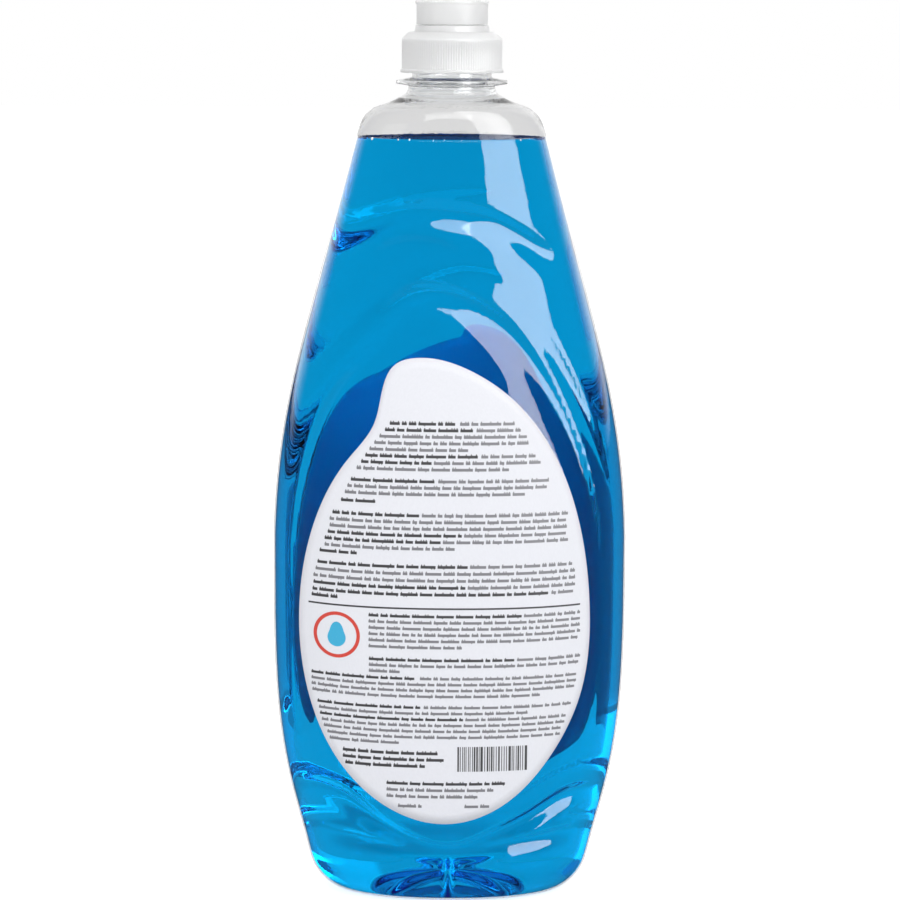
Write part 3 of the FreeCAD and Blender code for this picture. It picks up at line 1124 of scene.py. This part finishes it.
# Lowest and highest point of the knurls, their depth and their number
KNURL_BAND = (264.8, 273.0, 0.3, KNURLS)
KNURL_MIN_R = 15
SPIDER_RIBS = 3
SPIDER_REACH = (2.6, 8.6)
SPIDER_SECTION = ((-0.6, 275.45), (0.6, 275.45), (0.6, 278.0), (-0.6, 278.0))
CLOSURE_OUTLINE = (
    (16.2, 263.5, 0.2),
    (16.2, 264.5, 0.25),
    (15.75, 264.5, 0.1),
    (15.75, 264.9, 0),
    (15.75, 272.9, 0),
    (15.75, 273.3, 0),
    (15.75, 274.0, 0.5),
    (13.65, 276.1, 0.6),
    (11.9, 276.1, 0.25),
    (11.45, 278.2, 0.2),
    (10.55, 278.2, 0.2),
    (10.55, 276.1, 0.2),
    (9.4, 276.1, 0.2),
    (9.4, 283.2, 0.2),
    (9.8, 283.6, 0.15),
    (9.4, 284.0, 0.15),
    (8.3, 284.0, 0.2),
    (8.3, 275.4, 0.3),
    (9.9, 274.7, 0.2),
    (9.9, 270.1, 0.2),
    (10.8, 270.1, 0.2),
    (10.8, 274.7, 0.2),
    (12.95, 274.7, 0.3),
    (14.0, 273.65, 0.3),
    (14.0, 263.5, 0.15),
)
PULL_OUTLINE = (
    (9.55, 278.4, 0.12),
    (11.2, 278.4, 0.3),
    (11.2, 284.9, 0.25),
    (11.6, 284.9, 0.25),
    (11.6, 285.9, 0.35),
    (2.35, 285.9, 0.25),
    (2.35, 284.5, 0.1),
    (9.95, 284.5, 0.4),
    (9.95, 279.5, 0.1),
    (9.55, 279.1, 0.1),
)
PLUG_OUTLINE = (
    (0.02, 274.7, 0),
    (3.0, 274.7, 0.2),
    (3.0, 284.4, 0.3),
    (2.2, 284.4, 0.15),
    (2.2, 285.75, 0.3),
    (0.02, 285.75, 0),
)


def closed_lathe(name, outline, material, columns, ribs=None):
    # A ring turned from a closed outline; ribs are the lowest, the highest, the depth and the count
    turns = 2 * math.pi * np.arange(columns) / columns
    rows = []
    for r, z in fillet(outline, closed=True):
        reach = np.full(columns, r)
        if ribs and ribs[0] <= z <= ribs[1] and r > KNURL_MIN_R:
            wave = 0.5 + 0.5 * np.cos(turns * ribs[3])
            reach = r - ribs[2] * (1 - wave ** 0.7)
        ring = [reach * np.cos(turns), reach * np.sin(turns), np.full(columns, z)]
        rows.append(np.stack(ring, -1))
    points = np.concatenate(rows)
    faces = grid_faces(len(rows) + 1, columns) % len(points)
    return make_object(name, points, faces.tolist(), [material])


def make_spider():
    # Ribs that hold the plug in the spout tube
    points = []
    faces = []
    for index in range(SPIDER_RIBS):
        angle = math.radians(90 + 360 / SPIDER_RIBS * index)
        along = np.array([math.cos(angle), math.sin(angle), 0])
        across = np.array([-math.sin(angle), math.cos(angle), 0])
        first = len(points)
        for r in SPIDER_REACH:
            for side, z in SPIDER_SECTION:
                points.append(along * r + across * side + np.array([0, 0, z]))
        for k in range(4):
            n = (k + 1) % 4
            faces.append((first + k, first + n, first + 4 + n, first + 4 + k))
        faces.append((first + 3, first + 2, first + 1, first))
        faces.append((first + 4, first + 5, first + 6, first + 7))
    spider = make_object("closure_spider", points, faces, [NATURAL], smooth=False)
    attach(spider, "closure")


def make_closure():
    closure = closed_lathe("closure_shell", CLOSURE_OUTLINE, NATURAL, CAP_COLUMNS, KNURL_BAND)
    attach(closure, "closure")
    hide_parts("closure_base")
    turns = 2 * math.pi * np.arange(PLUG_COLUMNS) / PLUG_COLUMNS
    plug = closed_grid("closure_plug", circle_rows(fillet(PLUG_OUTLINE), turns), [NATURAL])
    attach(plug, "closure")
    make_spider()


def make_pull_cap():
    pull = closed_lathe("pull_cap", PULL_OUTLINE, NATURAL, PULL_COLUMNS)
    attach(pull, "nozzle")
    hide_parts("pull_top")


# Thread on the neck, under the closure

THREAD_STEPS = 110
THREAD_TURNS = 1.55
THREAD_PITCH = 4.2
THREAD_FOOT_Z = 265.6
THREAD_DEPTH = 1.05
THREAD_ROOT_R = 12.56
THREAD_SUNK_R = 12.4


def thread_section(depth):
    # Radius and height of the ridge's corners
    root = THREAD_ROOT_R
    return (
        (THREAD_SUNK_R, -1.1),
        (root + depth * 0.8, -0.55),
        (root + depth, -0.3),
        (root + depth, 0.3),
        (root + depth * 0.8, 0.55),
        (THREAD_SUNK_R, 1.1),
    )


def make_thread():
    points = []
    faces = []
    for k in range(THREAD_STEPS + 1):
        share = k / THREAD_STEPS
        a = 2 * math.pi * THREAD_TURNS * share
        z = THREAD_FOOT_Z + THREAD_PITCH * THREAD_TURNS * share
        fade = smooth_step(share, 0, 0.06) * (1 - smooth_step(share, 0.94, 1))
        for r, dz in thread_section(THREAD_DEPTH * fade):
            points.append((r * math.cos(a), r * math.sin(a), z + dz))
    for k in range(THREAD_STEPS):
        here = k * 6
        there = here + 6
        for j in range(6):
            n = (j + 1) % 6
            faces.append((here + j, here + n, there + n, there + j))
    faces.append((5, 4, 3, 2, 1, 0))
    faces.append(tuple(THREAD_STEPS * 6 + j for j in range(6)))
    thread = make_object("neck_thread", points, faces, [PET])
    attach(thread, "filled_bottle")


make_bottle()
make_soap()
make_bubbles()
make_labels()
print_back_label()
print_front_label()
make_closure()
make_pull_cap()
make_thread()


# Camera: the photograph's station, level with the cap and tilted down

LENS = 120
SENSOR = 36
STATION = (0, -0.95, 0.2921)
TILT = math.radians(8.9)
ROLL = math.radians(0.286)


def make_camera():
    data = bpy.data.cameras.new("camera")
    data.lens = LENS
    data.sensor_width = SENSOR
    data.clip_start = 0.05
    data.clip_end = 20
    camera = bpy.data.objects.new("camera", data)
    bpy.context.scene.collection.objects.link(camera)
    camera.matrix_world = (
        Matrix.Translation(Vector(STATION))
        @ Matrix.Rotation(math.pi / 2 - TILT, 4, "X")
        @ Matrix.Rotation(ROLL, 4, "Z")
    )
    bpy.context.scene.camera = camera


# Floor: white to the eye, dark to the wall's gloss, and glowing softly through the bottle, with
# painted shade under the bottle where that glow fades out

FLOOR_REACH = 6.0


def floor_material():
    material, tree, output = new_material("floor")
    lit = new_shader(tree, "BsdfDiffuse", {"Color": (0.62, 0.62, 0.62, 1)})
    dim = new_shader(tree, "BsdfDiffuse", {"Color": (0.06, 0.06, 0.06, 1)})
    glow = tree.nodes.new("ShaderNodeEmission")
    path = tree.nodes.new("ShaderNodeLightPath")
    spot = tree.nodes.new("ShaderNodeNewGeometry")
    away = tree.nodes.new("ShaderNodeVectorMath")
    away.operation = "LENGTH"
    tree.links.new(spot.outputs["Position"], away.inputs[0])
    # Painted shade under the bottle: no glow through it within 40 mm of the middle, rising to 0.18
    # by 140 mm
    through_glow_painted_shade = ramp_node(tree, away.outputs["Value"], 0.04, 0.14, 0.0, 0.18)
    level = choose_node(tree, path.outputs["Is Camera Ray"], 0.75, 0.0)
    level = choose_node(tree, path.outputs["Is Transmission Ray"], through_glow_painted_shade, level)
    tree.links.new(level, glow.inputs["Strength"])
    not_through = math_node(tree, "SUBTRACT", 1.0, path.outputs["Is Transmission Ray"])
    in_gloss = math_node(tree, "MULTIPLY", path.outputs["Is Glossy Ray"], not_through)
    ground = mix_shaders(tree, in_gloss, lit.outputs["BSDF"], dim.outputs["BSDF"])
    both = tree.nodes.new("ShaderNodeAddShader")
    tree.links.new(ground, both.inputs[0])
    tree.links.new(glow.outputs["Emission"], both.inputs[1])
    tree.links.new(both.outputs["Shader"], output.inputs["Surface"])
    return material


def make_floor():
    r = FLOOR_REACH
    corners = [(-r, -r, 0), (r, -r, 0), (r, r, 0), (-r, r, 0)]
    data = bpy.data.meshes.new("floor")
    data.from_pydata(corners, [], [(0, 1, 2, 3)])
    data.materials.append(floor_material())
    floor = bpy.data.objects.new("floor", data)
    bpy.context.scene.collection.objects.link(floor)


# World: white to the eye, softer as light, darker behind the camera in the gloss, and stronger
# through the bottle on the right


def make_world():
    world = bpy.data.worlds.new("studio")
    bpy.context.scene.world = world
    world.use_nodes = True
    tree = world.node_tree
    tree.nodes.clear()
    output = tree.nodes.new("ShaderNodeOutputWorld")
    sky = new_shader(tree, "Background", {"Color": (1, 1, 1, 1)})
    path = tree.nodes.new("ShaderNodeLightPath")
    where = tree.nodes.new("ShaderNodeTexCoord")
    level_part = tree.nodes.new("ShaderNodeVectorMath")
    level_part.operation = "MULTIPLY"
    level_part.inputs[1].default_value = (1, 1, 0)
    tree.links.new(where.outputs["Generated"], level_part.inputs[0])
    heading = tree.nodes.new("ShaderNodeVectorMath")
    heading.operation = "NORMALIZE"
    tree.links.new(level_part.outputs["Vector"], heading.inputs[0])
    split = tree.nodes.new("ShaderNodeSeparateXYZ")
    tree.links.new(heading.outputs["Vector"], split.inputs["Vector"])
    through = ramp_node(tree, split.outputs["X"], 0.17, 0.215, 0.8, 1.22)
    mirrored = ramp_node(tree, split.outputs["Y"], 0.3, 0.8, 0.03, 1.0)
    level = choose_node(tree, path.outputs["Is Camera Ray"], 1.0, 0.8)
    level = choose_node(tree, path.outputs["Is Glossy Ray"], mirrored, level)
    level = choose_node(tree, path.outputs["Is Transmission Ray"], through, level)
    tree.links.new(level, sky.inputs["Strength"])
    tree.links.new(sky.outputs["Background"], output.inputs["Surface"])


# Lights: two that only light, and two that only show in the gloss

AIM = Vector((0, 0, 0.15))


def softbox(name, azimuth, height, distance, width, tall, radiance):
    # azimuth in degrees from the camera's side towards +X
    data = bpy.data.lights.new(name, "AREA")
    data.shape = "RECTANGLE"
    data.size = width
    data.size_y = tall
    data.energy = radiance * math.pi * width * tall
    lamp = bpy.data.objects.new(name, data)
    bpy.context.scene.collection.objects.link(lamp)
    a = math.radians(azimuth)
    lamp.location = Vector((math.sin(a) * distance, -math.cos(a) * distance, height))
    lamp.rotation_mode = "QUATERNION"
    lamp.rotation_quaternion = (AIM - lamp.location).to_track_quat("-Z", "Y")
    lamp.visible_camera = False
    return lamp


def make_lights():
    key = softbox("key_light", 46, 0.75, 1.3, 0.48, 1.5, 4.2)
    key.visible_glossy = False
    fill = softbox("fill_light", -60, 0.6, 1.5, 0.9, 1.2, 2.2)
    fill.visible_glossy = False
    strip = softbox("strip_softbox", 41, 0.85, 1.2, 1.0, 2.2, 5.6)
    strip.visible_diffuse = False
    upper = softbox("upper_softbox", -4, 1.2, 0.95, 0.86, 0.5, 4.6)
    upper.visible_diffuse = False


make_camera()
make_floor()
make_world()
make_lights()

scene = bpy.context.scene
scene.view_settings.view_transform = "Standard"
scene.cycles.max_bounces = 24
scene.cycles.transmission_bounces = 24
scene.cycles.glossy_bounces = 12
scene.cycles.transparent_max_bounces = 32
